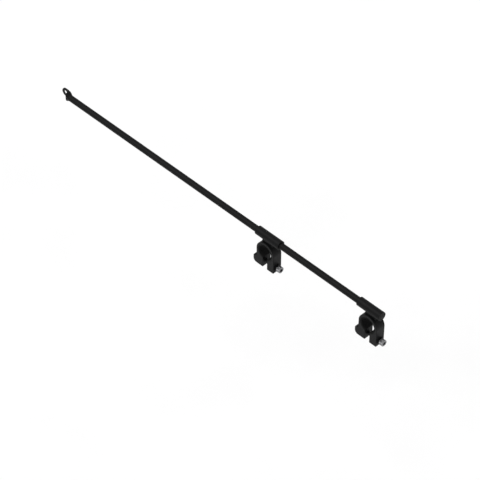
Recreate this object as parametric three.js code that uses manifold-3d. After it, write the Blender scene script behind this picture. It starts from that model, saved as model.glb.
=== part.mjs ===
// Bed cargo bar: a straight tube with a flattened eye at its far end, carried by two C-clamps.
// Each clamp has a welded sleeve that slips over the bar and a seat for a cross tube.
// Millimetres. +X runs along the bar to its clamp end, +Z is up, and the cross tubes run along Y.
// The origin is the centre of the near clamp's tube seat.

import * as THREE from 'three';
import { mergeVertices } from 'three/addons/utils/BufferGeometryUtils.js';
import Module from 'manifold-3d';

const wasm = await Module();
wasm.setup();

// Driving dimensions
const GAP = 0.3; // between pieces that rest on each other
const OVERCUT = 2; // how far a cutter runs past the face it opens
const CHAMFER = 1; // on the plug's and the screws' ends

const BAR_RADIUS = 8;
const BAR_WALL = 2;
const BAR_AXIS_Z = 40;
const CLAMP_SPACING = 323.3;
const PLUG_HEAD = 2;
const PLUG_SPIGOT_LENGTH = 14;

const EYE_SHOULDER_X = -1022.2;
const EYE_HOLE_REACH = 14.5; // from the shoulder to the hole's centre
const EYE_HOLE_X = EYE_SHOULDER_X - EYE_HOLE_REACH;
const EYE_HOLE_RADIUS = 6;
const EYE_HALF_WIDTH = 12.2;
const EYE_BACK_Y = 8.8;
const EYE_THICKNESS = 3.5;
const EYE_FRONT_FLARE_LENGTH = 12;
const EYE_BACK_HOLD = 1; // how far the back stays wide past the shoulder
const EYE_BACK_FLARE_LENGTH = 11;
const EYE_FLARE_FRONT_Y = -7.6;
const EYE_STEP_LENGTH = 4;
const EYE_FRONT_ROUNDNESS = 0.65; // 1 is an ellipse, and less is squarer
const EYE_BACK_ROUNDNESS = 0.2;
const FLARE_END_X = EYE_SHOULDER_X + EYE_BACK_HOLD + EYE_BACK_FLARE_LENGTH;

const SLEEVE_RADIUS = 11.3;
const SLEEVE_BORE = 8.25;
const NEAR_SLEEVE_ENDS = [-38.8, 29.7]; // from the clamp's centre
const FAR_SLEEVE_ENDS = [-35.7, 38.5];
const PLUG_FACE_X = NEAR_SLEEVE_ENDS[1] + GAP;

const CLAMP_DEPTH = 26.4;
const CLAMP_HALF_WIDTH = 27.7;
const SEAT_RADIUS = 21.9;
const JAW_BOTTOM_Z = -49.4;
const SLOT_WIDTH = 13.5;
const BOSS_OUT = 9.8;
const BOSS_HEIGHT = 22.4;
const BOSS_LOWER_RADIUS = 10;
const BOSS_UPPER_RADIUS = 8;
const SADDLE_LENGTH = 28;
const SADDLE_WIDTH = 15;
const SADDLE_TOP_Z = 33;
const SADDLE_ROOT_Z = 18;

const LINER_THICKNESS = 2.1;

const SCREW_HEIGHT = 12; // above the jaws' underside
const SCREW_Z = JAW_BOTTOM_Z + SCREW_HEIGHT;
const SCREW_RADIUS = 4.95;
const SCREW_LENGTH = 65;
const SCREW_HEAD_RADIUS = 8;
const SCREW_HEAD_HEIGHT = 10;
const SCREW_SOCKET_ACROSS_FLATS = 8;
const SCREW_SOCKET_DEPTH = 5;
const SCREW_HOLE_RADIUS = 5.5;
const SPOT_FACE_RADIUS = 10.5;
const SPOT_FACE_DEPTH = 1.6;
const WASHER_HOLE_RADIUS = 5.3;
const FLAT_WASHER_RADIUS = 10;
const FLAT_WASHER_THICKNESS = 2;
const LOCK_WASHER_RADIUS = 9.05;
const LOCK_WASHER_THICKNESS = 2.2;
const LOCK_WASHER_SPLIT = 1.2;
const NUT_ACROSS_FLATS = 17;
const NUT_THICKNESS = 8;
const NUT_POCKET_ACROSS_FLATS = 17.6;
const NUT_RECESS = 3.5; // from the boss's outer face

const SET_SCREW_OFFSET_X = -27;
const SET_SCREW_TILT = -45; // degrees from +Y towards +Z
const SET_SCREW_RADIUS = 2.95;
const SET_SCREW_LENGTH = 10;
const SET_SCREW_SOCKET_ACROSS_FLATS = 3;
const SET_SCREW_SOCKET_DEPTH = 3;
const WELD_NUT_ACROSS_FLATS = 10;
const WELD_NUT_THICKNESS = 5;
const WELD_NUT_BORE = 3.3;
const SLEEVE_SIDE_HOLE = 3.4;

const ROUND_SEGMENTS = 32;
const SMALL_SEGMENTS = 16;
const SEAT_SEGMENTS = 48;
const FLARE_STEPS = 12;
const MERGE_TOLERANCE = 1e-4;

const black = { color: 0x17171a, roughness: 0.5, metalness: 0.2 };
const blackOxide = { color: 0x1d1d1f, roughness: 0.4, metalness: 0.9 };
const stainless = { color: 0xc4c6c8, roughness: 0.28, metalness: 1 };
const zinc = { color: 0xa9aba8, roughness: 0.4, metalness: 1 };
const rubber = { color: 0x101010, roughness: 0.85, metalness: 0 };
const plastic = { color: 0x141416, roughness: 0.6, metalness: 0 };

// Joining and cutting
function toSolid(geometry) {
  const bare = geometry.clone();
  bare.deleteAttribute('normal');
  bare.deleteAttribute('uv');
  const merged = mergeVertices(bare, MERGE_TOLERANCE);
  const vertProperties = new Float32Array(merged.attributes.position.array);
  const triVerts = new Uint32Array(merged.index.array);
  return new wasm.Manifold(new wasm.Mesh({ numProp: 3, vertProperties, triVerts }));
}

function toGeometry(solid) {
  const { vertProperties, triVerts } = solid.getMesh();
  const geometry = new THREE.BufferGeometry();
  geometry.setAttribute('position', new THREE.BufferAttribute(vertProperties, 3));
  geometry.setIndex(new THREE.BufferAttribute(triVerts, 1));
  geometry.computeVertexNormals();
  return geometry;
}

// A cylinder along X, from startX to endX
function rodAlongX(radius, startX, endX, segments = ROUND_SEGMENTS) {
  const geometry = new THREE.CylinderGeometry(radius, radius, endX - startX, segments);
  geometry.rotateZ(-Math.PI / 2);
  geometry.translate((startX + endX) / 2, 0, 0);
  return geometry;
}

// A hexagonal prism along X with two corners level with the axis
function hexAlongX(acrossFlats, startX, endX) {
  const cornerRadius = acrossFlats / Math.sqrt(3);
  const geometry = new THREE.CylinderGeometry(cornerRadius, cornerRadius, endX - startX, 6);
  geometry.rotateY(Math.PI / 6);
  geometry.rotateZ(-Math.PI / 2);
  geometry.translate((startX + endX) / 2, 0, 0);
  return geometry;
}

// A solid turned about X, from [radius, x] points that start and end on the axis
function turnedAlongX(profile, segments = ROUND_SEGMENTS) {
  const points = profile.map(([radius, along]) => new THREE.Vector2(radius, along));
  const geometry = new THREE.LatheGeometry(points, segments);
  geometry.rotateZ(-Math.PI / 2);
  return geometry;
}

// A plate outlined in X and Z, between two Y values
function plateAlongY(shape, startY, endY) {
  const geometry = new THREE.ExtrudeGeometry(shape, {
    depth: endY - startY,
    bevelEnabled: false,
    curveSegments: SMALL_SEGMENTS,
  });
  geometry.translate(0, 0, -endY);
  geometry.rotateX(Math.PI / 2);
  return geometry;
}

// The bar
function eyeSection(x, aroundY, aroundZ) {
  const fromRound = EYE_SHOULDER_X + EYE_FRONT_FLARE_LENGTH - x;
  const frontFlare = THREE.MathUtils.smoothstep(fromRound, 0, EYE_FRONT_FLARE_LENGTH);
  const backFlare = THREE.MathUtils.smoothstep(FLARE_END_X - x, 0, EYE_BACK_FLARE_LENGTH);
  const towardsBack = (aroundY + 1) / 2;
  const flare = THREE.MathUtils.lerp(frontFlare, backFlare, towardsBack);
  const step = THREE.MathUtils.smoothstep(EYE_SHOULDER_X - x, 0, EYE_STEP_LENGTH);
  const halfWidth = THREE.MathUtils.lerp(BAR_RADIUS, EYE_HALF_WIDTH, flare);
  const backY = THREE.MathUtils.lerp(BAR_RADIUS, EYE_BACK_Y, backFlare);
  const flareFrontY = THREE.MathUtils.lerp(-BAR_RADIUS, EYE_FLARE_FRONT_Y, frontFlare);
  const frontY = THREE.MathUtils.lerp(flareFrontY, EYE_BACK_Y - EYE_THICKNESS, step);
  const squarest = THREE.MathUtils.lerp(EYE_FRONT_ROUNDNESS, EYE_BACK_ROUNDNESS, towardsBack);
  const roundness = THREE.MathUtils.lerp(1, squarest, flare);
  const across = Math.sign(aroundY) * Math.abs(aroundY) ** roundness;
  const up = Math.sign(aroundZ) * Math.abs(aroundZ) ** roundness;
  return [(backY + frontY) / 2 + (across * (backY - frontY)) / 2, up * halfWidth];
}

function flaredEnd() {
  const startX = EYE_SHOULDER_X - EYE_STEP_LENGTH;
  const endX = FLARE_END_X + OVERCUT;
  const geometry = new THREE.CylinderGeometry(1, 1, endX - startX, ROUND_SEGMENTS, FLARE_STEPS);
  geometry.rotateZ(-Math.PI / 2);
  geometry.translate((startX + endX) / 2, 0, 0);
  const positions = geometry.attributes.position;
  for (let i = 0; i < positions.count; i += 1) {
    const x = positions.getX(i);
    const [y, z] = eyeSection(x, positions.getY(i), positions.getZ(i));
    positions.setXYZ(i, x, y, z);
  }
  return geometry;
}

function eyePlate() {
  const shape = new THREE.Shape();
  const rootX = EYE_SHOULDER_X + OVERCUT;
  shape.moveTo(rootX, -EYE_HALF_WIDTH);
  shape.lineTo(rootX, EYE_HALF_WIDTH);
  shape.lineTo(EYE_HOLE_X, EYE_HALF_WIDTH);
  shape.absarc(EYE_HOLE_X, 0, EYE_HALF_WIDTH, Math.PI / 2, (3 * Math.PI) / 2, false);
  shape.closePath();
  const hole = new THREE.Path();
  hole.absarc(EYE_HOLE_X, 0, EYE_HOLE_RADIUS, 0, 2 * Math.PI, false);
  shape.holes.push(hole);
  return plateAlongY(shape, EYE_BACK_Y - EYE_THICKNESS, EYE_BACK_Y);
}

function barTube() {
  const nearX = PLUG_FACE_X - PLUG_HEAD - GAP;
  const innerRadius = BAR_RADIUS - BAR_WALL;
  const outside = toSolid(rodAlongX(BAR_RADIUS, FLARE_END_X, nearX));
  const inside = toSolid(turnedAlongX([
    [0, FLARE_END_X - innerRadius],
    [innerRadius, FLARE_END_X + innerRadius],
    [innerRadius, nearX + OVERCUT],
    [0, nearX + OVERCUT],
  ]));
  const solid = outside.add(toSolid(flaredEnd())).add(toSolid(eyePlate())).subtract(inside);
  return toGeometry(solid);
}

function endPlug() {
  const headStartX = PLUG_FACE_X - PLUG_HEAD;
  const spigotRadius = BAR_RADIUS - BAR_WALL - GAP;
  return turnedAlongX([
    [0, headStartX - PLUG_SPIGOT_LENGTH],
    [spigotRadius - CHAMFER, headStartX - PLUG_SPIGOT_LENGTH],
    [spigotRadius, headStartX - PLUG_SPIGOT_LENGTH + CHAMFER],
    [spigotRadius, headStartX],
    [BAR_RADIUS, headStartX],
    [BAR_RADIUS, PLUG_FACE_X - CHAMFER],
    [BAR_RADIUS - CHAMFER, PLUG_FACE_X],
    [0, PLUG_FACE_X],
  ]);
}

// One clamp, about the centre of its tube seat
function clampOutline() {
  const shape = new THREE.Shape();
  const bossX = -CLAMP_HALF_WIDTH - BOSS_OUT;
  const bossTopZ = JAW_BOTTOM_Z + BOSS_HEIGHT;
  const lowerX = bossX + BOSS_LOWER_RADIUS;
  const upperX = bossX + BOSS_UPPER_RADIUS;
  shape.moveTo(CLAMP_HALF_WIDTH, JAW_BOTTOM_Z);
  shape.lineTo(lowerX, JAW_BOTTOM_Z);
  shape.absarc(lowerX, JAW_BOTTOM_Z + BOSS_LOWER_RADIUS, BOSS_LOWER_RADIUS, -Math.PI / 2, -Math.PI, true);
  shape.absarc(upperX, bossTopZ - BOSS_UPPER_RADIUS, BOSS_UPPER_RADIUS, Math.PI, Math.PI / 2, true);
  shape.lineTo(-CLAMP_HALF_WIDTH, bossTopZ);
  shape.absarc(0, 0, CLAMP_HALF_WIDTH, Math.PI, 0, true);
  shape.closePath();
  return shape;
}

function clampBody() {
  const bossX = -CLAMP_HALF_WIDTH - BOSS_OUT;
  const pocketFloorX = bossX + NUT_RECESS + NUT_THICKNESS + GAP;
  const body = toSolid(plateAlongY(clampOutline(), -CLAMP_DEPTH / 2, CLAMP_DEPTH / 2));
  const saddleHeight = SADDLE_TOP_Z - SADDLE_ROOT_Z;
  const saddle = new THREE.BoxGeometry(SADDLE_LENGTH, SADDLE_WIDTH, saddleHeight);
  saddle.translate(0, 0, (SADDLE_TOP_Z + SADDLE_ROOT_Z) / 2);
  const seatLength = CLAMP_DEPTH + 2 * OVERCUT;
  const seat = new THREE.CylinderGeometry(SEAT_RADIUS, SEAT_RADIUS, seatLength, SEAT_SEGMENTS);
  const slot = new THREE.BoxGeometry(SLOT_WIDTH, seatLength, -JAW_BOTTOM_Z + OVERCUT);
  slot.translate(0, 0, (JAW_BOTTOM_Z - OVERCUT) / 2);
  const cradle = rodAlongX(SLEEVE_RADIUS + GAP, -2 * CLAMP_HALF_WIDTH, 2 * CLAMP_HALF_WIDTH);
  cradle.translate(0, 0, BAR_AXIS_Z);
  const screwHole = rodAlongX(SCREW_HOLE_RADIUS, bossX - OVERCUT, CLAMP_HALF_WIDTH + OVERCUT, SMALL_SEGMENTS);
  const nutPocket = hexAlongX(NUT_POCKET_ACROSS_FLATS, bossX - OVERCUT, pocketFloorX);
  const faceX = CLAMP_HALF_WIDTH - SPOT_FACE_DEPTH;
  const spotFace = rodAlongX(SPOT_FACE_RADIUS, faceX, CLAMP_HALF_WIDTH + OVERCUT);
  [screwHole, nutPocket, spotFace].forEach((cutter) => cutter.translate(0, 0, SCREW_Z));
  const cutters = [seat, slot, cradle, screwHole, nutPocket, spotFace];
  const joined = body.add(toSolid(saddle));
  return toGeometry(cutters.reduce((solid, cutter) => solid.subtract(toSolid(cutter)), joined));
}

// Lays a piece that was built along X onto the set screw's axis, measured from the bar's axis
function ontoSetScrewAxis(geometry) {
  const tilt = THREE.MathUtils.degToRad(SET_SCREW_TILT);
  geometry.rotateZ(Math.PI / 2);
  geometry.rotateX(tilt);
  geometry.translate(SET_SCREW_OFFSET_X, 0, BAR_AXIS_Z);
  return geometry;
}

function sleeve([startX, endX]) {
  const outside = rodAlongX(SLEEVE_RADIUS, startX, endX);
  const inside = rodAlongX(SLEEVE_BORE, startX - OVERCUT, endX + OVERCUT);
  [outside, inside].forEach((piece) => piece.translate(0, 0, BAR_AXIS_Z));
  const sideHole = ontoSetScrewAxis(rodAlongX(SLEEVE_SIDE_HOLE, 0, 2 * SLEEVE_RADIUS, SMALL_SEGMENTS));
  return toGeometry(toSolid(outside).subtract(toSolid(inside)).subtract(toSolid(sideHole)));
}

function liner() {
  const outerRadius = SEAT_RADIUS - GAP;
  const innerRadius = outerRadius - LINER_THICKNESS;
  const length = CLAMP_DEPTH - GAP;
  const outside = new THREE.CylinderGeometry(outerRadius, outerRadius, length, SEAT_SEGMENTS);
  const inside = new THREE.CylinderGeometry(innerRadius, innerRadius, length + OVERCUT, SEAT_SEGMENTS);
  const mouth = new THREE.BoxGeometry(SLOT_WIDTH, length + OVERCUT, 2 * SEAT_RADIUS);
  mouth.translate(0, 0, -SEAT_RADIUS);
  return toGeometry(toSolid(outside).subtract(toSolid(inside)).subtract(toSolid(mouth)));
}

const FLAT_WASHER_X = CLAMP_HALF_WIDTH - SPOT_FACE_DEPTH + GAP;
const LOCK_WASHER_X = FLAT_WASHER_X + FLAT_WASHER_THICKNESS + GAP;
const SCREW_HEAD_X = LOCK_WASHER_X + LOCK_WASHER_THICKNESS + GAP;

function ring(outerRadius, innerRadius, startX, endX) {
  const outside = toSolid(rodAlongX(outerRadius, startX, endX));
  const inside = toSolid(rodAlongX(innerRadius, startX - OVERCUT, endX + OVERCUT, SMALL_SEGMENTS));
  return outside.subtract(inside);
}

function flatWasher() {
  const endX = FLAT_WASHER_X + FLAT_WASHER_THICKNESS;
  const geometry = toGeometry(ring(FLAT_WASHER_RADIUS, WASHER_HOLE_RADIUS, FLAT_WASHER_X, endX));
  return geometry.translate(0, 0, SCREW_Z);
}

function lockWasher() {
  const endX = LOCK_WASHER_X + LOCK_WASHER_THICKNESS;
  const split = new THREE.BoxGeometry(4 * LOCK_WASHER_THICKNESS, LOCK_WASHER_SPLIT, 2 * LOCK_WASHER_RADIUS);
  split.translate(endX, 0, LOCK_WASHER_RADIUS);
  const whole = ring(LOCK_WASHER_RADIUS, WASHER_HOLE_RADIUS, LOCK_WASHER_X, endX);
  return toGeometry(whole.subtract(toSolid(split))).translate(0, 0, SCREW_Z);
}

function capScrew() {
  const tipX = SCREW_HEAD_X - SCREW_LENGTH;
  const faceX = SCREW_HEAD_X + SCREW_HEAD_HEIGHT;
  const body = toSolid(turnedAlongX([
    [0, tipX],
    [SCREW_RADIUS - CHAMFER, tipX],
    [SCREW_RADIUS, tipX + CHAMFER],
    [SCREW_RADIUS, SCREW_HEAD_X],
    [SCREW_HEAD_RADIUS, SCREW_HEAD_X],
    [SCREW_HEAD_RADIUS, faceX - CHAMFER],
    [SCREW_HEAD_RADIUS - CHAMFER, faceX],
    [0, faceX],
  ]));
  const socket = hexAlongX(SCREW_SOCKET_ACROSS_FLATS, faceX - SCREW_SOCKET_DEPTH, faceX + OVERCUT);
  return toGeometry(body.subtract(toSolid(socket))).translate(0, 0, SCREW_Z);
}

function clampNut() {
  const startX = -CLAMP_HALF_WIDTH - BOSS_OUT + NUT_RECESS;
  const endX = startX + NUT_THICKNESS;
  const body = toSolid(hexAlongX(NUT_ACROSS_FLATS, startX, endX));
  const hole = rodAlongX(WASHER_HOLE_RADIUS, startX - OVERCUT, endX + OVERCUT, SMALL_SEGMENTS);
  return toGeometry(body.subtract(toSolid(hole))).translate(0, 0, SCREW_Z);
}

function weldNut() {
  const start = SLEEVE_RADIUS + GAP;
  const end = start + WELD_NUT_THICKNESS;
  const body = toSolid(hexAlongX(WELD_NUT_ACROSS_FLATS, start, end));
  const hole = rodAlongX(WELD_NUT_BORE, start - OVERCUT, end + OVERCUT, SMALL_SEGMENTS);
  return ontoSetScrewAxis(toGeometry(body.subtract(toSolid(hole))));
}

function setScrew() {
  const start = BAR_RADIUS + GAP;
  const end = start + SET_SCREW_LENGTH;
  const body = toSolid(turnedAlongX([
    [0, start],
    [SET_SCREW_RADIUS - CHAMFER, start],
    [SET_SCREW_RADIUS, start + CHAMFER],
    [SET_SCREW_RADIUS, end],
    [0, end],
  ], SMALL_SEGMENTS));
  const socket = hexAlongX(SET_SCREW_SOCKET_ACROSS_FLATS, end - SET_SCREW_SOCKET_DEPTH, end + OVERCUT);
  return ontoSetScrewAxis(toGeometry(body.subtract(toSolid(socket))));
}

// The assembly
const cargoBar = new THREE.Group();

function place(parent, name, geometry, finish) {
  const mesh = new THREE.Mesh(geometry, new THREE.MeshStandardMaterial(finish));
  mesh.name = name;
  parent.add(mesh);
}

const bar = new THREE.Group();
bar.position.z = BAR_AXIS_Z;
cargoBar.add(bar);
place(bar, 'bar_tube', barTube(), black);
place(bar, 'end_plug', endPlug(), plastic);

function addClamp(prefix, centreX, sleeveEnds) {
  const clamp = new THREE.Group();
  clamp.position.x = centreX;
  cargoBar.add(clamp);
  place(clamp, `${prefix}_clamp_body`, clampBody(), black);
  place(clamp, `${prefix}_sleeve`, sleeve(sleeveEnds), black);
  place(clamp, `${prefix}_liner`, liner(), rubber);
  place(clamp, `${prefix}_cap_screw`, capScrew(), stainless);
  place(clamp, `${prefix}_flat_washer`, flatWasher(), blackOxide);
  place(clamp, `${prefix}_lock_washer`, lockWasher(), blackOxide);
  place(clamp, `${prefix}_clamp_nut`, clampNut(), zinc);
  place(clamp, `${prefix}_weld_nut`, weldNut(), black);
  place(clamp, `${prefix}_set_screw`, setScrew(), zinc);
}

addClamp('near', 0, NEAR_SLEEVE_ENDS);
addClamp('far', -CLAMP_SPACING, FAR_SLEEVE_ENDS);

export default cargoBar;
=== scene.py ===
"""The looks of the bed cargo bar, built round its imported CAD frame.

Every CAD solid is replaced by a finer mesh of the same size. Meshes are laid out in
millimetres about the places that the frame gives, and turned into metres as they are made.
"""

import math

import bpy
from mathutils import Matrix, Vector


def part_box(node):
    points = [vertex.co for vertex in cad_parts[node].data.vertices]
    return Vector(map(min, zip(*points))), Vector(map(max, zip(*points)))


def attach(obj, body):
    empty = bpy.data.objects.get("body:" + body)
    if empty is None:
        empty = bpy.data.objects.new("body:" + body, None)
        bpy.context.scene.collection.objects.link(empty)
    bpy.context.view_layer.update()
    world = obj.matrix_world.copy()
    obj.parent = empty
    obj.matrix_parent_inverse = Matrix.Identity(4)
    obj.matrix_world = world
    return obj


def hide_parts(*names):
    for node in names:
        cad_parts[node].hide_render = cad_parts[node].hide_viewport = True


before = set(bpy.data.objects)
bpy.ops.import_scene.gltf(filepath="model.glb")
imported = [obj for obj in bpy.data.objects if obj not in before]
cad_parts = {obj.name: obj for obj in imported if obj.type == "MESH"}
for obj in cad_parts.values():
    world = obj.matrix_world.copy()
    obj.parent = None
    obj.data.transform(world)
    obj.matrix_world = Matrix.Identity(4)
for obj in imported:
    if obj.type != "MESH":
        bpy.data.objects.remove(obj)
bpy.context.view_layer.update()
scene = bpy.context.scene
MM = 0.001
TURN = 2 * math.pi
CLAMPS = ("near", "far")

# ---------------------------------------------------------------- places from the frame


def box_mm(node):
    """A CAD node's lowest and highest corners, in millimetres."""
    low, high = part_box(node)
    return low / MM, high / MM


bar_low, bar_high = box_mm("bar_tube")
plug_low, plug_high = box_mm("end_plug")
BAR_RADIUS = -bar_low.y
BAR_AXIS_Z = (bar_low.z + bar_high.z) / 2
EYE_HALF_WIDTH = (bar_high.z - bar_low.z) / 2
EYE_TIP_X = bar_low.x

# ---------------------------------------------------------------- sizes the boxes don't give, mm

GAP = 0.3  # between pieces that rest on each other
OVERCUT = 2.0  # how far a cutter runs past the face it opens

BAR_WALL = 2.0
PLUG_HEAD = 2.0

EYE_HOLE_RADIUS = 6.0
EYE_BACK_Y = bar_high.y
EYE_THICKNESS = 3.5
EYE_SHOULDER = 26.7  # from the tip
EYE_FRONT_FLARE_LENGTH = 12.0
EYE_BACK_HOLD = 1.0  # how far the back stays wide past the shoulder
EYE_BACK_FLARE_LENGTH = 11.0
EYE_FRONT_ROUNDNESS = 0.65  # 1 is an ellipse, and less is squarer
EYE_BACK_ROUNDNESS = 0.2
EYE_PLATE_SIDE_ROUNDNESS = 0.3
EYE_PLATE_EDGE_ROUNDNESS = 0.4
SHOULDER_X = EYE_TIP_X + EYE_SHOULDER
FLARE_END_X = SHOULDER_X + EYE_BACK_HOLD + EYE_BACK_FLARE_LENGTH
EYE_FLARE_FRONT_Y = -7.6
EYE_STEP_LENGTH = 4.0

SLOT_WIDTH = 13.5
BOSS_HEIGHT = 22.4
BOSS_LOWER_RADIUS = 10.0
BOSS_UPPER_RADIUS = 8.0
SADDLE_LENGTH = 28.0
SADDLE_WIDTH = 15.0
SADDLE_WALL = 1.5  # above the seat
SADDLE_FLARE = 4.0  # at each end of its foot
SADDLE_FOOT_DROP = 9.0
SLEEVE_BORE = 8.25
LINER_THICKNESS = 2.1

SCREW_HOLE_RADIUS = 5.5
SPOT_FACE_RADIUS = 10.5
SPOT_FACE_DEPTH = 1.6
SCREW_SHANK_RADIUS = 4.95
SCREW_THREAD_LENGTH = 32.0
SCREW_HEAD_HEIGHT = 10.0
SCREW_SOCKET_ACROSS_FLATS = 8.0
SCREW_SOCKET_DEPTH = 5.0
KNURL_TEETH = 60
KNURL_DEPTH = 0.22
WASHER_BORE = 5.3
LOCK_WASHER_SPLIT = 1.2
LOCK_WASHER_LEAD = 0.25  # how far its two ends stand apart along the screw
NUT_BORE = 5.1
NUT_THICKNESS = 8.0
NUT_RECESS = 3.5  # from the boss's outer face
NUT_POCKET_ACROSS_FLATS = 17.6
M10_PITCH = 1.5

SET_SCREW_ANGLE = math.radians(-45)  # from +Y towards +Z, about the bar
SET_SCREW_RADIUS = 2.95
SET_SCREW_LENGTH = 10.0
SET_SCREW_SOCKET_ACROSS_FLATS = 3.0
SET_SCREW_SOCKET_DEPTH = 3.0
SIDE_HOLE_RADIUS = 3.4
WELD_NUT_ACROSS_FLATS = 10.0
WELD_NUT_THICKNESS = 5.0
WELD_NUT_BORE = 3.1
M6_PITCH = 1.0

BEAD_RADIUS = 1.15
BEAD_RIPPLE = 0.25
BEAD_PUDDLES = 24
NUT_BEAD_REACH = 5.7  # from the nut's axis

# ---------------------------------------------------------------- materials


def principled(name):
    """A new material with its node tree, and its Principled shader."""
    material = bpy.data.materials.new(name)
    material.use_nodes = True
    return material, material.node_tree, material.node_tree.nodes["Principled BSDF"]


def noise(tree, scale, detail=3.0, stretch=(1, 1, 1)):
    """Noise in the object's own metres. Its factor output is returned."""
    coordinates = tree.nodes.new("ShaderNodeTexCoord")
    mapping = tree.nodes.new("ShaderNodeMapping")
    mapping.inputs["Scale"].default_value = stretch
    texture = tree.nodes.new("ShaderNodeTexNoise")
    texture.inputs["Scale"].default_value = scale
    texture.inputs["Detail"].default_value = detail
    tree.links.new(coordinates.outputs["Object"], mapping.inputs["Vector"])
    tree.links.new(mapping.outputs["Vector"], texture.inputs["Vector"])
    return texture.outputs["Fac"]


def ramp(tree, factor, low, high, start=0.3, end=0.7):
    """Turns a factor into a value or colour between low and high."""
    node = tree.nodes.new("ShaderNodeMapRange")
    node.inputs["From Min"].default_value = start
    node.inputs["From Max"].default_value = end
    tree.links.new(factor, node.inputs["Value"])
    if isinstance(low, tuple):
        mix = tree.nodes.new("ShaderNodeMix")
        mix.data_type = "RGBA"
        mix.inputs["A"].default_value = (*low, 1)
        mix.inputs["B"].default_value = (*high, 1)
        tree.links.new(node.outputs["Result"], mix.inputs["Factor"])
        return mix.outputs["Result"]
    node.inputs["To Min"].default_value = low
    node.inputs["To Max"].default_value = high
    return node.outputs["Result"]


def bump(tree, shader, heights):
    """Chains bumps from (height, distance in mm) pairs onto the shader's normal."""
    last = None
    for height, distance in heights:
        node = tree.nodes.new("ShaderNodeBump")
        node.inputs["Distance"].default_value = distance * MM
        tree.links.new(height, node.inputs["Height"])
        if last:
            tree.links.new(last, node.inputs["Normal"])
        last = node.outputs["Normal"]
    tree.links.new(last, shader.inputs["Normal"])


def powder_coat():
    material, tree, shader = principled("powder_coat")
    cloud = noise(tree, 60, 2)
    peel = noise(tree, 620, 2)
    grain = noise(tree, 2600, 1)
    tree.links.new(ramp(tree, cloud, (0.0035, 0.0035, 0.0037), (0.0055, 0.0055, 0.0058)),
                   shader.inputs["Base Color"])
    tree.links.new(ramp(tree, peel, 0.4, 0.54), shader.inputs["Roughness"])
    shader.inputs["Specular IOR Level"].default_value = 0.1
    bump(tree, shader, [(peel, 0.06), (grain, 0.012)])
    return material


def weld_coat():
    material, tree, shader = principled("weld_coat")
    blotch = noise(tree, 300, 3)
    tree.links.new(ramp(tree, blotch, (0.004, 0.004, 0.0042), (0.007, 0.007, 0.0073)),
                   shader.inputs["Base Color"])
    tree.links.new(ramp(tree, blotch, 0.34, 0.5), shader.inputs["Roughness"])
    shader.inputs["Specular IOR Level"].default_value = 0.14
    bump(tree, shader, [(noise(tree, 900, 3), 0.08)])
    return material


def black_plastic():
    material, tree, shader = principled("black_plastic")
    grain = noise(tree, 1500, 4)
    tree.links.new(ramp(tree, grain, (0.0035, 0.0035, 0.0037), (0.006, 0.006, 0.0063)),
                   shader.inputs["Base Color"])
    tree.links.new(ramp(tree, grain, 0.45, 0.62), shader.inputs["Roughness"])
    shader.inputs["Specular IOR Level"].default_value = 0.12
    bump(tree, shader, [(grain, 0.04)])
    return material


def liner_rubber():
    material, tree, shader = principled("liner_rubber")
    bloom = noise(tree, 140, 4)
    grain = noise(tree, 1800, 3)
    tree.links.new(ramp(tree, bloom, (0.004, 0.004, 0.004), (0.008, 0.008, 0.0078)),
                   shader.inputs["Base Color"])
    tree.links.new(ramp(tree, grain, 0.68, 0.9), shader.inputs["Roughness"])
    shader.inputs["Specular IOR Level"].default_value = 0.1
    bump(tree, shader, [(grain, 0.05)])
    return material


def turned_metal(name, dark, light, roughness, scratch_stretch):
    """Bare machined metal: fine turning marks, faint smudges."""
    material, tree, shader = principled(name)
    smudge = noise(tree, 180, 4)
    marks = noise(tree, 900, 2, scratch_stretch)
    tree.links.new(ramp(tree, smudge, dark, light), shader.inputs["Base Color"])
    tree.links.new(ramp(tree, smudge, roughness, roughness + 0.14), shader.inputs["Roughness"])
    shader.inputs["Metallic"].default_value = 1.0
    bump(tree, shader, [(marks, 0.015)])
    return material


MATERIALS = {
    "powder_coat": powder_coat(),
    "weld": weld_coat(),
    "black_plastic": black_plastic(),
    "rubber": liner_rubber(),
    "stainless": turned_metal("stainless", (0.19, 0.19, 0.197), (0.28, 0.28, 0.287), 0.26, (9, 1, 1)),
    "zinc_steel": turned_metal("zinc_steel", (0.22, 0.22, 0.215), (0.34, 0.34, 0.33), 0.3, (6, 1, 1)),
    # near-black steel: on the washers it only colours them near-black; on the cap screws' shanks it is
    # painted shade, standing for the shade inside the clamp's slot
    "black_oxide": turned_metal("black_oxide", (0.012, 0.012, 0.013), (0.024, 0.024, 0.025), 0.36,
                                (9, 1, 1)),
}

# ---------------------------------------------------------------- mesh building


def make_object(name, vertices, faces):
    """An object from vertices in millimetres."""
    mesh = bpy.data.meshes.new(name)
    mesh.from_pydata([Vector(v) * MM for v in vertices], [], faces)
    mesh.validate()
    piece = bpy.data.objects.new(name, mesh)
    scene.collection.objects.link(piece)
    return piece


def arc_corner(before, corner, after, radius, steps):
    """The points of an arc that rounds one corner of a path."""
    to_before = before - corner
    to_after = after - corner
    half = to_before.angle(to_after) / 2
    reach = min(radius / math.tan(half), 0.48 * to_before.length, 0.48 * to_after.length)
    start = corner + to_before.normalized() * reach
    end = corner + to_after.normalized() * reach
    middle = (to_before.normalized() + to_after.normalized()).normalized()
    centre = corner + middle * (reach / math.cos(half))
    first = start - centre
    last = end - centre
    first_angle = math.atan2(first.y, first.x)
    sweep = (math.atan2(last.y, last.x) - first_angle + math.pi) % TURN - math.pi
    angles = [first_angle + sweep * k / steps for k in range(steps + 1)]
    return [centre + first.length * Vector((math.cos(a), math.sin(a))) for a in angles]


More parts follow.
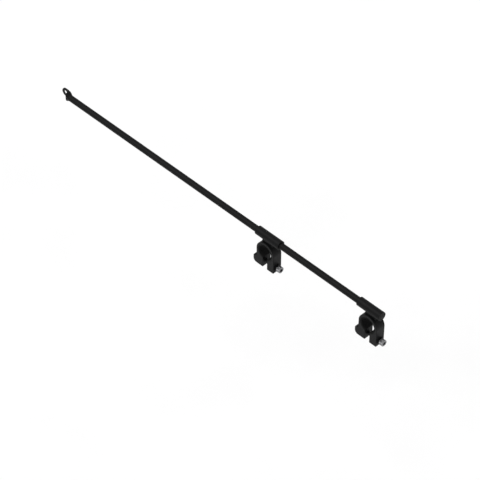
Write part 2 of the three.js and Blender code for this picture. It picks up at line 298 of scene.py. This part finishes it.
def rounded_path(corners, closed=True, steps=4):
    """A flat path from (a, b, radius) corners, each rounded to its radius."""
    points = [Vector((a, b)) for a, b, _ in corners]
    path = []
    for i, (_, _, radius) in enumerate(corners):
        is_end = not closed and i in (0, len(corners) - 1)
        if radius == 0 or is_end:
            path.append(points[i])
        else:
            path += arc_corner(points[i - 1], points[i], points[(i + 1) % len(points)], radius, steps)
    return path


def arc_points(centre_a, centre_b, radius, start, end, steps):
    """Points of a plain arc as unrounded path corners."""
    angles = [start + (end - start) * k / steps for k in range(steps + 1)]
    return [(centre_a + radius * math.cos(a), centre_b + radius * math.sin(a), 0) for a in angles]


def revolve(name, profile, axis_y, axis_z, segments=96, closed=False, shape=None, start=0.0):
    """Turns (x, radius) points about an axis along X. shape(x, radius, angle) may change the radius."""
    vertices, rings = [], []
    for x, radius in profile:
        if radius < 1e-6:
            rings.append([len(vertices)])
            vertices.append((x, axis_y, axis_z))
            continue
        ring = []
        for k in range(segments):
            angle = start + TURN * k / segments
            reach = shape(x, radius, angle) if shape else radius
            ring.append(len(vertices))
            vertices.append((x, axis_y + reach * math.cos(angle), axis_z + reach * math.sin(angle)))
        rings.append(ring)
    pairs = list(zip(rings, rings[1:] + rings[:1])) if closed else list(zip(rings, rings[1:]))
    faces = []
    for one, two in pairs:
        for k in range(segments):
            after = (k + 1) % segments
            if len(one) == 1 and len(two) > 1:
                faces.append((one[0], two[after], two[k]))
            elif len(two) == 1 and len(one) > 1:
                faces.append((one[k], one[after], two[0]))
            elif len(one) > 1:
                faces.append((one[k], one[after], two[after], two[k]))
    return outward(make_object(name, vertices, faces))


def outward(piece):
    """Turns the faces so that the closed mesh's normals point out."""
    mesh = piece.data
    mesh.calc_loop_triangles()
    volume = 0.0
    for triangle in mesh.loop_triangles:
        a, b, c = (mesh.vertices[i].co for i in triangle.vertices)
        volume += a.dot(b.cross(c))
    if volume < 0:
        mesh.flip_normals()
    return piece


def inset(outline, distance):
    """A closed outline whose points are moved inwards by distance."""
    area = sum(a.x * b.y - b.x * a.y for a, b in zip(outline, outline[1:] + outline[:1]))
    side = 1 if area > 0 else -1
    moved = []
    for i, point in enumerate(outline):
        along_before = (point - outline[i - 1]).normalized()
        along_after = (outline[(i + 1) % len(outline)] - point).normalized()
        tangent = (along_before + along_after).normalized()
        inward = Vector((-tangent.y, tangent.x)) * side
        stretch = 1 / max(0.5, tangent.dot(along_after))
        moved.append(point + inward * distance * stretch)
    return moved


def plate(name, outline, y_low, y_high, rim=0.8, steps=3):
    """An (x, z) outline drawn out along Y, with its two rims rounded."""
    layers = []
    for k in range(steps + 1):
        angle = math.pi / 2 * k / steps
        layers.append((y_low + rim * (1 - math.sin(angle)), rim * (1 - math.cos(angle))))
    layers = layers[::-1]
    layers = layers + [(y_low + y_high - y, depth) for y, depth in layers[::-1]]
    vertices = []
    for y, depth in layers:
        vertices += [(p.x, y, p.y) for p in inset(outline, depth)]
    count = len(outline)
    faces = [tuple(range(count)), tuple(reversed(range((len(layers) - 1) * count, len(layers) * count)))]
    for layer in range(len(layers) - 1):
        for k in range(count):
            after = (k + 1) % count
            low, high = layer * count, (layer + 1) * count
            faces.append((low + k, high + k, high + after, low + after))
    return outward(make_object(name, vertices, faces))


def sweep(name, path, radius_at, sides=12, closed=False):
    """A round bead along 3D points, with a radius for each point."""
    count = len(path)
    vertices = []
    for i, point in enumerate(path):
        before = path[i - 1] if closed or i > 0 else point
        after = path[(i + 1) % count] if closed or i < count - 1 else point
        tangent = (after - before).normalized()
        side = tangent.cross(Vector((0.31, 0.52, 0.79))).normalized()
        other = tangent.cross(side)
        for k in range(sides):
            angle = TURN * k / sides
            offset = side * math.cos(angle) + other * math.sin(angle)
            vertices.append(point + offset * radius_at(i / (count - 1)))
    faces = []
    for i in range(count if closed else count - 1):
        low, high = i * sides, (i + 1) % count * sides
        for k in range(sides):
            after = (k + 1) % sides
            faces.append((low + k, low + after, high + after, high + k))
    if not closed:
        faces.append(tuple(reversed(range(sides))))
        faces.append(tuple(range((count - 1) * sides, count * sides)))
    return outward(make_object(name, vertices, faces))


def combine(piece, other, operation="DIFFERENCE"):
    """Cuts or joins other into piece, and removes other."""
    modifier = piece.modifiers.new("combine", "BOOLEAN")
    modifier.operation = operation
    modifier.solver = "EXACT"
    modifier.object = other
    view_layer = bpy.context.view_layer
    view_layer.update()
    mesh = bpy.data.meshes.new_from_object(piece.evaluated_get(bpy.context.evaluated_depsgraph_get()))
    piece.modifiers.clear()
    piece.data = mesh
    bpy.data.objects.remove(other)
    return piece


def turn_to_set_screw(piece, clamp_x):
    """Lays a piece that was built along X onto the set screw's axis, from the bar's axis."""
    stand_up = Matrix.Rotation(math.pi / 2, 4, "Z")
    tilt = Matrix.Rotation(SET_SCREW_ANGLE, 4, "X")
    place = Matrix.Translation(Vector((clamp_x, 0, BAR_AXIS_Z)) * MM)
    piece.data.transform(place @ tilt @ stand_up)
    return piece


def finish_piece(piece, material, body, node=None, sharp=38):
    """Shades a piece, gives it its material, and ties it to the frame."""
    mesh = piece.data
    mesh.materials.clear()
    mesh.materials.append(MATERIALS[material])
    mesh.shade_smooth()
    mesh.set_sharp_from_angle(angle=math.radians(sharp))
    normals = piece.modifiers.new("face_weighted", "WEIGHTED_NORMAL")
    normals.keep_sharp = True
    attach(piece, body)
    if node:
        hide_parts(node)
    return piece


def smoothstep(value):
    value = min(1.0, max(0.0, value))
    return value * value * (3 - 2 * value)


def mixed(low, high, factor):
    return low + (high - low) * factor


def thread_shape(start_x, end_x, pitch):
    """The radius of a V thread between two X values, fading out at both ends."""
    depth = 0.6 * pitch

    def shape(x, radius, angle):
        if radius < depth or not start_x <= x <= end_x:
            return radius
        phase = (x / pitch - angle / TURN) % 1
        valley = 1 - min(1.0, 2.3 * abs(phase - 0.5))
        fade = min(1.0, (x - start_x) / pitch, (end_x - x) / pitch)
        return radius - depth * valley * max(0.0, fade)

    return shape


def rod(start, end, radius):
    """The profile of a plain rod between two X values."""
    return [(start, 0), (start, radius), (end, radius), (end, 0)]


def threaded_tip(start, end, radius, chamfer, pitch):
    """A threaded shank's profile from its chamfered tip, in rows close enough to carve its thread."""
    rows = steps_between(start + 0.2, end, pitch / 8)
    shank = [(x, min(radius, radius - chamfer + x - start)) for x in rows]
    return [(start, 0), (start, radius - chamfer)] + shank


def steps_between(start, end, step):
    count = max(1, round((end - start) / step))
    return [start + (end - start) * k / count for k in range(count + 1)]


# ---------------------------------------------------------------- the bar


def eye_half_width(x, flare):
    """Half of the bar's height at x: the eye's round end, then round tube widened by the flare."""
    centre_x = EYE_TIP_X + EYE_HALF_WIDTH
    if x < centre_x:
        return math.sqrt(max(0.0, EYE_HALF_WIDTH ** 2 - (centre_x - x) ** 2))
    return mixed(BAR_RADIUS, EYE_HALF_WIDTH, flare)


def bar_section(x, count):
    """One closed ring of the bar's skin at x. The flare narrows sooner at the front than at the back."""
    front_flare = smoothstep((SHOULDER_X + EYE_FRONT_FLARE_LENGTH - x) / EYE_FRONT_FLARE_LENGTH)
    back_flare = smoothstep((FLARE_END_X - x) / EYE_BACK_FLARE_LENGTH)
    step = smoothstep((SHOULDER_X - x) / EYE_STEP_LENGTH)
    back_y = mixed(BAR_RADIUS, EYE_BACK_Y, back_flare)
    front_y = mixed(mixed(-BAR_RADIUS, EYE_FLARE_FRONT_Y, front_flare), EYE_BACK_Y - EYE_THICKNESS, step)
    ring = []
    for k in range(count):
        angle = TURN * k / count
        across, up = math.cos(angle), math.sin(angle)
        towards_back = (across + 1) / 2
        flare = mixed(front_flare, back_flare, towards_back)
        roundness = mixed(1.0, mixed(EYE_FRONT_ROUNDNESS, EYE_BACK_ROUNDNESS, towards_back), flare)
        across = math.copysign(abs(across) ** mixed(roundness, EYE_PLATE_SIDE_ROUNDNESS, step), across)
        up = math.copysign(abs(up) ** mixed(roundness, EYE_PLATE_EDGE_ROUNDNESS, step), up)
        height = up * eye_half_width(x, flare)
        ring.append((x, (back_y + front_y) / 2 + across * (back_y - front_y) / 2, BAR_AXIS_Z + height))
    return ring


def build_bar():
    """The tube and its flattened eye as one skin, then the tube's bore and the eye's hole."""
    count = 96
    tip_steps = 24
    rounding = 0.6
    rounding_steps = 3
    eye_x = EYE_TIP_X + EYE_HALF_WIDTH
    tip = [eye_x - EYE_HALF_WIDTH * math.cos(math.pi / 2 * k / tip_steps) for k in range(1, tip_steps)]
    flare = steps_between(eye_x, FLARE_END_X, 1.0)
    stations = tip + flare + steps_between(FLARE_END_X, bar_high.x - rounding, 60)[1:]
    vertices = [(EYE_TIP_X, EYE_BACK_Y - EYE_THICKNESS / 2, BAR_AXIS_Z)]
    for x in stations:
        vertices += bar_section(x, count)
    turns = [TURN * j / count for j in range(count)]
    for k in range(1, rounding_steps + 1):
        angle = math.pi / 2 * k / rounding_steps
        radius = BAR_RADIUS - rounding * (1 - math.cos(angle))
        x = bar_high.x - rounding * (1 - math.sin(angle))
        vertices += [(x, radius * math.cos(a), BAR_AXIS_Z + radius * math.sin(a)) for a in turns]
    ring_count = len(stations) + rounding_steps
    faces = [(0, 1 + (k + 1) % count, 1 + k) for k in range(count)]
    for ring in range(ring_count - 1):
        low, high = 1 + ring * count, 1 + (ring + 1) * count
        for k in range(count):
            after = (k + 1) % count
            faces.append((low + k, low + after, high + after, high + k))
    faces.append(tuple(range(1 + (ring_count - 1) * count, 1 + ring_count * count)))
    bar = outward(make_object("bar", vertices, faces))
    inner = BAR_RADIUS - BAR_WALL
    end_x = bar_high.x + OVERCUT
    combine(bar, revolve("bore", [(FLARE_END_X, 0), (FLARE_END_X + inner, inner), (end_x, inner), (end_x, 0)],
                         0, BAR_AXIS_Z, 64))
    combine(bar, eye_hole_cutter(eye_x))
    finish_piece(bar, "powder_coat", "bar", "bar_tube")


def eye_hole_cutter(eye_x):
    """A rod through the eye's plate that also chamfers both ends of the hole."""
    front_y = EYE_BACK_Y - EYE_THICKNESS
    chamfer = 0.5
    reach = 1.0
    mouth = EYE_HOLE_RADIUS + chamfer + reach
    hole = [(front_y - reach, 0), (front_y - reach, mouth), (front_y + chamfer, EYE_HOLE_RADIUS),
            (EYE_BACK_Y - chamfer, EYE_HOLE_RADIUS), (EYE_BACK_Y + reach, mouth), (EYE_BACK_Y + reach, 0)]
    cutter = revolve("hole", hole, 0, 0, 64)
    lay_along_y = Matrix.Rotation(math.pi / 2, 4, "Z")
    cutter.data.transform(Matrix.Translation(Vector((eye_x, 0, BAR_AXIS_Z)) * MM) @ lay_along_y)
    return cutter


def build_plug():
    """The end plug: a slightly domed cap with a spigot inside the tube."""
    head_x = plug_high.x - PLUG_HEAD
    spigot = BAR_RADIUS - BAR_WALL - GAP
    corners = [(plug_low.x, 0, 0), (plug_low.x, spigot - 0.8, 0.4), (plug_low.x + 1.5, spigot, 0.4),
               (head_x, spigot, 0), (head_x, BAR_RADIUS, 0.3), (plug_high.x - 0.5, BAR_RADIUS, 1.0),
               (plug_high.x, 2.5, 1.0), (plug_high.x, 0, 0)]
    profile = [tuple(p) for p in rounded_path(corners, closed=False, steps=5)]
    plug = revolve("plug", profile, 0, BAR_AXIS_Z)
    finish_piece(plug, "black_plastic", "bar", "end_plug")


# ---------------------------------------------------------------- one clamp


def clamp_outline(clamp_x, low, high):
    """The C's outline in X and Z, with its seat, slot and nut boss."""
    half_width = high.x - clamp_x
    seat = seat_radius(clamp_x)
    slot = SLOT_WIDTH / 2
    bottom = low.z
    seat_turn = math.asin(slot / seat)
    corners = [(clamp_x + slot, bottom, 1.2), (clamp_x + half_width, bottom, 1.6)]
    corners += arc_points(clamp_x, 0, half_width, 0, math.pi, 48)
    corners += [(clamp_x - half_width, bottom + BOSS_HEIGHT, 1.5),
                (low.x, bottom + BOSS_HEIGHT, BOSS_UPPER_RADIUS),
                (low.x, bottom, BOSS_LOWER_RADIUS), (clamp_x - slot, bottom, 1.2)]
    seat_start = 1.5 * math.pi - seat_turn
    corners += arc_points(clamp_x, 0, seat, seat_start, seat_turn - math.pi / 2, 80)
    return rounded_path(corners, steps=6)


def seat_radius(clamp_x):
    """The cast seat's radius, from the liner that lies in it."""
    prefix = "near" if abs(clamp_x) < 1 else "far"
    return box_mm(f"{prefix}_liner")[1].x - clamp_x + GAP


def build_clamp_body(prefix, clamp_x):
    """The C and its saddle, cut for the sleeve, the screw with its spot face, and the nut."""
    low, high = box_mm(f"{prefix}_clamp_body")
    screw_z = middle(f"{prefix}_cap_screw").z
    body = plate(f"{prefix}_clamp", clamp_outline(clamp_x, low, high), low.y, high.y, rim=1.0)
    root_z = seat_radius(clamp_x) + SADDLE_WALL
    foot_z = root_z - SADDLE_FOOT_DROP
    half = SADDLE_LENGTH / 2
    foot = half + SADDLE_FLARE
    block = rounded_path([(clamp_x - foot, foot_z, 0), (clamp_x - half, high.z, 2.0),
                          (clamp_x + half, high.z, 2.0), (clamp_x + foot, foot_z, 0),
                          (clamp_x, root_z, 0)])
    combine(body, plate("saddle", block, -SADDLE_WIDTH / 2, SADDLE_WIDTH / 2, rim=0.9), "UNION")
    cradle_radius = sleeve_size(prefix) + 0.05
    cradle_reach = 60
    cradle = rod(clamp_x - cradle_reach, clamp_x + cradle_reach, cradle_radius)
    combine(body, revolve("cradle", cradle, 0, BAR_AXIS_Z, 128))
    hole = SCREW_HOLE_RADIUS
    spot = SPOT_FACE_RADIUS
    spot_x = high.x - SPOT_FACE_DEPTH
    start_x, end_x = low.x - OVERCUT, high.x + OVERCUT
    bore = [(start_x, 0), (start_x, hole), (spot_x - 0.6, hole), (spot_x, hole + 0.6), (spot_x, spot - 0.3),
            (spot_x + 0.3, spot), (high.x - 0.3, spot), (end_x, spot + 0.3 + OVERCUT), (end_x, 0)]
    combine(body, revolve("bore", bore, 0, screw_z, 72))
    pocket_floor = low.x + NUT_RECESS + NUT_THICKNESS + GAP
    pocket = rod(start_x, pocket_floor, NUT_POCKET_ACROSS_FLATS / math.sqrt(3))
    combine(body, revolve("pocket", pocket, 0, screw_z, 6))
    finish_piece(body, "powder_coat", f"{prefix}_clamp", f"{prefix}_clamp_body", sharp=32)


def middle(node):
    low, high = box_mm(node)
    return (low + high) / 2


def sleeve_size(prefix):
    low, high = box_mm(f"{prefix}_sleeve")
    return (high.z - low.z) / 2


def build_sleeve(prefix):
    """The sleeve, with the side hole that lets its set screw through."""
    low, high = box_mm(f"{prefix}_sleeve")
    outer = sleeve_size(prefix)
    inner = SLEEVE_BORE
    corners = [(low.x, inner, 0.3), (low.x, outer, 0.6), (high.x, outer, 0.6), (high.x, inner, 0.3)]
    profile = [tuple(p) for p in rounded_path(corners, steps=4)]
    sleeve = revolve(f"{prefix}_sleeve_tube", profile, 0, BAR_AXIS_Z, 128, closed=True)
    side_hole = revolve("side_hole", rod(2, 14, SIDE_HOLE_RADIUS), 0, 0, 32)
    combine(sleeve, turn_to_set_screw(side_hole, set_screw_x(prefix)))
    finish_piece(sleeve, "powder_coat", f"{prefix}_clamp", f"{prefix}_sleeve")


def build_liner(prefix, clamp_x):
    low, high = box_mm(f"{prefix}_liner")
    outer = high.x - clamp_x
    inner = outer - LINER_THICKNESS
    slot = SLOT_WIDTH / 2
    outer_turn = math.asin(slot / outer)
    inner_turn = math.asin(slot / inner)
    start = -math.pi / 2
    corners = arc_points(clamp_x, 0, outer, start + outer_turn, start + TURN - outer_turn, 96)
    corners += arc_points(clamp_x, 0, inner, start + TURN - inner_turn, start + inner_turn, 96)
    outline = [Vector((a, b)) for a, b, _ in corners]
    liner = plate(f"{prefix}_seat_liner", outline, low.y, high.y, rim=0.35)
    finish_piece(liner, "rubber", f"{prefix}_clamp", f"{prefix}_liner")


def build_cap_screw(prefix):
    """A socket cap screw with a bright knurled head, and an M10 threaded shank coloured near-black as painted
    shade.
    """
    low, high = box_mm(f"{prefix}_cap_screw")
    axis_z = (low.z + high.z) / 2
    head_radius = (high.z - low.z) / 2
    head_x = high.x - SCREW_HEAD_HEIGHT
    shank = SCREW_SHANK_RADIUS
    thread_end = low.x + SCREW_THREAD_LENGTH
    thread = thread_shape(low.x, thread_end, M10_PITCH)

    def shape(x, radius, angle):
        if head_x + 0.8 < x < high.x - 1.2 and radius > head_radius - 0.01:
            return radius - KNURL_DEPTH * (0.5 + 0.5 * math.cos(KNURL_TEETH * angle))
        return thread(x, radius, angle)

    profile = threaded_tip(low.x, thread_end, shank, 1.1, M10_PITCH)
    profile += [(thread_end + 0.5, shank), (head_x - 0.6, shank), (head_x, shank + 0.4)]
    profile += [(head_x, head_radius - 0.4), (head_x + 0.3, head_radius), (head_x + 0.9, head_radius)]
    profile += [(x, head_radius) for x in steps_between(head_x + 1.0, high.x - 1.3, 3)]
    profile += [(high.x - 1.1, head_radius), (high.x - 0.7, head_radius - 0.15)]
    profile += [(high.x - 0.25, head_radius - 0.6), (high.x, head_radius - 1.2), (high.x, 0)]
    screw = revolve(f"{prefix}_socket_screw", profile, 0, axis_z, 240, shape=shape)
    corner = SCREW_SOCKET_ACROSS_FLATS / math.sqrt(3)
    floor_x = high.x - SCREW_SOCKET_DEPTH
    socket = [(floor_x - 0.8, 0), (floor_x, corner), (high.x + 1, corner), (high.x + 1, 0)]
    combine(screw, revolve("socket", socket, 0, axis_z, 6))
    mouth = [(high.x - 0.6, 0), (high.x - 0.6, 4.1), (high.x + 0.4, 5.1), (high.x + 0.4, 0)]
    combine(screw, revolve("mouth", mouth, 0, axis_z, 64))
    finish_piece(screw, "stainless", f"{prefix}_screw", f"{prefix}_cap_screw", sharp=42)
    # painted shade: the faces below the head get the near-black steel, standing for the shade in the clamp's
    # slot
    screw.data.materials.append(MATERIALS["black_oxide"])
    for face in screw.data.polygons:
        if face.center.x < head_x * MM:
            face.material_index = 1


def build_flat_washer(prefix):
    low, high = box_mm(f"{prefix}_flat_washer")
    outer = (high.z - low.z) / 2
    corners = [(low.x, WASHER_BORE, 0.1), (low.x, outer, 0.2), (high.x, outer, 0.5),
               (high.x, WASHER_BORE, 0.3)]
    profile = [tuple(p) for p in rounded_path(corners, steps=3)]
    washer = revolve(f"{prefix}_washer", profile, 0, (low.z + high.z) / 2, closed=True)
    finish_piece(washer, "black_oxide", f"{prefix}_washers", f"{prefix}_flat_washer")


def build_lock_washer(prefix):
    """A split spring washer whose two ends stand slightly apart along the screw."""
    low, high = box_mm(f"{prefix}_lock_washer")
    centre_z = middle(f"{prefix}_flat_washer").z
    outer = (high.y - low.y) / 2
    inner = WASHER_BORE
    half_split = LOCK_WASHER_SPLIT / 2 / outer
    lead = LOCK_WASHER_LEAD
    thickness = high.x - low.x - lead
    count = 96
    section = [(0.15, inner), (0, inner + 0.2), (0, outer - 0.3), (0.3, outer), (thickness - 0.3, outer),
               (thickness, outer - 0.3), (thickness, inner + 0.2), (thickness - 0.15, inner)]
    vertices = []
    for k in range(count + 1):
        angle = math.pi / 2 + half_split + (TURN - 2 * half_split) * k / count
        shift = low.x + lead * k / count
        for x, radius in section:
            vertices.append((shift + x, radius * math.cos(angle), centre_z + radius * math.sin(angle)))
    sides = len(section)
    faces = [tuple(range(sides)), tuple(reversed(range(count * sides, (count + 1) * sides)))]
    for k in range(count):
        for j in range(sides):
            after = (j + 1) % sides
            faces.append((k * sides + j, (k + 1) * sides + j, (k + 1) * sides + after, k * sides + after))
    washer = outward(make_object(f"{prefix}_spring_washer", vertices, faces))
    finish_piece(washer, "black_oxide", f"{prefix}_washers", f"{prefix}_lock_washer")


def hex_nut(name, low_x, high_x, across_flats, bore, axis_z):
    """A hexagon nut along X with both faces' corners turned back."""
    corner = across_flats / math.sqrt(3)
    flat = across_flats / 2
    nut = revolve(name, [(low_x, 0), (low_x, corner), (high_x, corner), (high_x, 0)], 0, axis_z, 6)
    slope = (corner - flat) * 0.6
    turned = [(low_x, 0), (low_x, flat - 0.2), (low_x + slope, corner), (high_x - slope, corner),
              (high_x, flat - 0.2), (high_x, 0)]
    combine(nut, revolve("turned", turned, 0, axis_z, 96), "INTERSECT")
    through = [(low_x - 1, 0), (low_x - 1, bore + 1.5), (low_x + 0.5, bore), (high_x - 0.5, bore),
               (high_x + 1, bore + 1.5), (high_x + 1, 0)]
    return combine(nut, revolve("through", through, 0, axis_z, 64))


def build_clamp_nut(prefix):
    low, high = box_mm(f"{prefix}_clamp_nut")
    nut = hex_nut(f"{prefix}_captive_nut", low.x, high.x, high.z - low.z, NUT_BORE, (low.z + high.z) / 2)
    finish_piece(nut, "zinc_steel", f"{prefix}_clamp", f"{prefix}_clamp_nut", sharp=25)


def set_screw_x(prefix):
    return middle(f"{prefix}_set_screw").x


def build_set_screw(prefix):
    """The M6 set screw and the nut that is welded under the sleeve for it."""
    x = set_screw_x(prefix)
    nut_start = sleeve_size(prefix) + GAP
    nut = hex_nut(f"{prefix}_sleeve_nut", nut_start, nut_start + WELD_NUT_THICKNESS, WELD_NUT_ACROSS_FLATS,
                  WELD_NUT_BORE, 0)
    turn_to_set_screw(nut, x)
    finish_piece(nut, "powder_coat", f"{prefix}_clamp", f"{prefix}_weld_nut", sharp=25)
    start = BAR_RADIUS + GAP
    end = start + SET_SCREW_LENGTH
    radius = SET_SCREW_RADIUS
    profile = threaded_tip(start, end - 0.3, radius, 1.0, M6_PITCH) + [(end, radius - 0.4), (end, 0)]
    screw = revolve(f"{prefix}_grub_screw", profile, 0, 0, 48, shape=thread_shape(start, end, M6_PITCH))
    corner = SET_SCREW_SOCKET_ACROSS_FLATS / math.sqrt(3)
    floor = end - SET_SCREW_SOCKET_DEPTH
    socket = [(floor - 0.6, 0), (floor, corner), (end + 1, corner), (end + 1, 0)]
    combine(screw, revolve("socket", socket, 0, 0, 6))
    turn_to_set_screw(screw, x)
    finish_piece(screw, "zinc_steel", f"{prefix}_set", f"{prefix}_set_screw", sharp=42)


def ripple(count, base, height):
    """A bead's radius along its length: overlapping puddles that taper at both ends."""
    def radius_at(along):
        puddle = abs(math.sin(math.pi * count * along))
        taper = min(1.0, 12 * along + 0.25, 12 * (1 - along) + 0.25)
        return (base + height * puddle) * taper
    return radius_at


def even_ripple(along):
    """The radius of the bead round the nut, which has no ends to taper."""
    return 0.85 + 0.15 * abs(math.sin(16 * math.pi * along))


def build_welds(prefix, clamp_x):
    """The beads along both sides of the sleeve's saddle and round the set screw's nut."""
    outer = sleeve_size(prefix)
    half = SADDLE_LENGTH / 2 - 0.5
    for side, name in ((-1, "front"), (1, "back")):
        bead_y = side * (SADDLE_WIDTH / 2 + 0.5)
        bead_z = BAR_AXIS_Z - math.sqrt(outer ** 2 - bead_y ** 2) - 0.4
        path = [Vector((clamp_x + x, bead_y, bead_z)) for x in steps_between(-half, half, 0.4)]
        bead = sweep(f"{prefix}_{name}_weld", path, ripple(BEAD_PUDDLES, BEAD_RADIUS, BEAD_RIPPLE))
        finish_piece(bead, "weld", f"{prefix}_clamp", sharp=60)
    ring = []
    reach = NUT_BEAD_REACH
    for k in range(96):
        angle = TURN * k / 96
        across = reach * math.sin(angle)
        height = math.sqrt(outer ** 2 - across ** 2) + 0.35
        ring.append(Vector((height, -reach * math.cos(angle), across)))
    bead = sweep(f"{prefix}_nut_weld", ring, even_ripple, closed=True)
    turn_to_set_screw(bead, set_screw_x(prefix))
    finish_piece(bead, "weld", f"{prefix}_clamp", sharp=60)


# ---------------------------------------------------------------- stage, light and camera


def build_stage():
    size = 30
    floor_z = -0.45
    material, tree, shader = principled("pale_floor")
    speckle = noise(tree, 3, 2)
    tree.links.new(ramp(tree, speckle, (0.93, 0.93, 0.93), (0.96, 0.96, 0.96)), shader.inputs["Base Color"])
    shader.inputs["Roughness"].default_value = 0.9
    shader.inputs["Specular IOR Level"].default_value = 0.0
    corners = [(-size, -size, floor_z), (size, -size, floor_z), (size, size, floor_z), (-size, size, floor_z)]
    floor = make_object("floor", [Vector(c) / MM for c in corners], [(0, 1, 2, 3)])
    floor.data.materials.append(material)


def soft_sun(name, towards, strength, width):
    """A broad, far light, like a large overhead softbox, seen in the given direction."""
    data = bpy.data.lights.new(name, "SUN")
    data.energy = strength
    data.angle = math.radians(width)
    light = bpy.data.objects.new(name, data)
    light.rotation_mode = "QUATERNION"
    light.rotation_quaternion = Vector(towards).to_track_quat("Z", "Y")
    scene.collection.objects.link(light)


def build_light():
    world = bpy.data.worlds.new("studio")
    scene.world = world
    world.use_nodes = True
    background = world.node_tree.nodes["Background"]
    background.inputs["Color"].default_value = (1, 1, 1, 1)
    background.inputs["Strength"].default_value = 0.72
    soft_sun("key", (-0.35, -0.45, 0.82), 1.36, 50)
    scene.view_settings.view_transform = "Standard"


def build_camera():
    """A long lens, looking down on the clamp end from the front right."""
    azimuth = math.radians(45.67)
    elevation = math.radians(43.87)
    lens = 164.0175
    sensor = 36.0
    right_shift, up_shift, depth = 0.29241, -0.18329, 4.8596
    back = Vector((math.sin(azimuth) * math.cos(elevation), -math.cos(azimuth) * math.cos(elevation),
                   math.sin(elevation)))
    right = Vector((math.cos(azimuth), math.sin(azimuth), 0))
    up = back.cross(right)
    data = bpy.data.cameras.new("camera")
    data.sensor_width = sensor
    data.lens = lens
    data.clip_start = 0.1
    data.clip_end = 100
    camera = bpy.data.objects.new("camera", data)
    camera.location = back * depth - right * right_shift - up * up_shift
    camera.rotation_mode = "QUATERNION"
    camera.rotation_quaternion = (-back).to_track_quat("-Z", "Y")
    scene.collection.objects.link(camera)
    scene.camera = camera


# ---------------------------------------------------------------- all of it

build_camera()
build_stage()
build_light()
build_bar()
build_plug()
for clamp in CLAMPS:
    x = middle(f"{clamp}_liner").x
    build_clamp_body(clamp, x)
    build_sleeve(clamp)
    build_liner(clamp, x)
    build_cap_screw(clamp)
    build_flat_washer(clamp)
    build_lock_washer(clamp)
    build_clamp_nut(clamp)
    build_set_screw(clamp)
    build_welds(clamp, x)
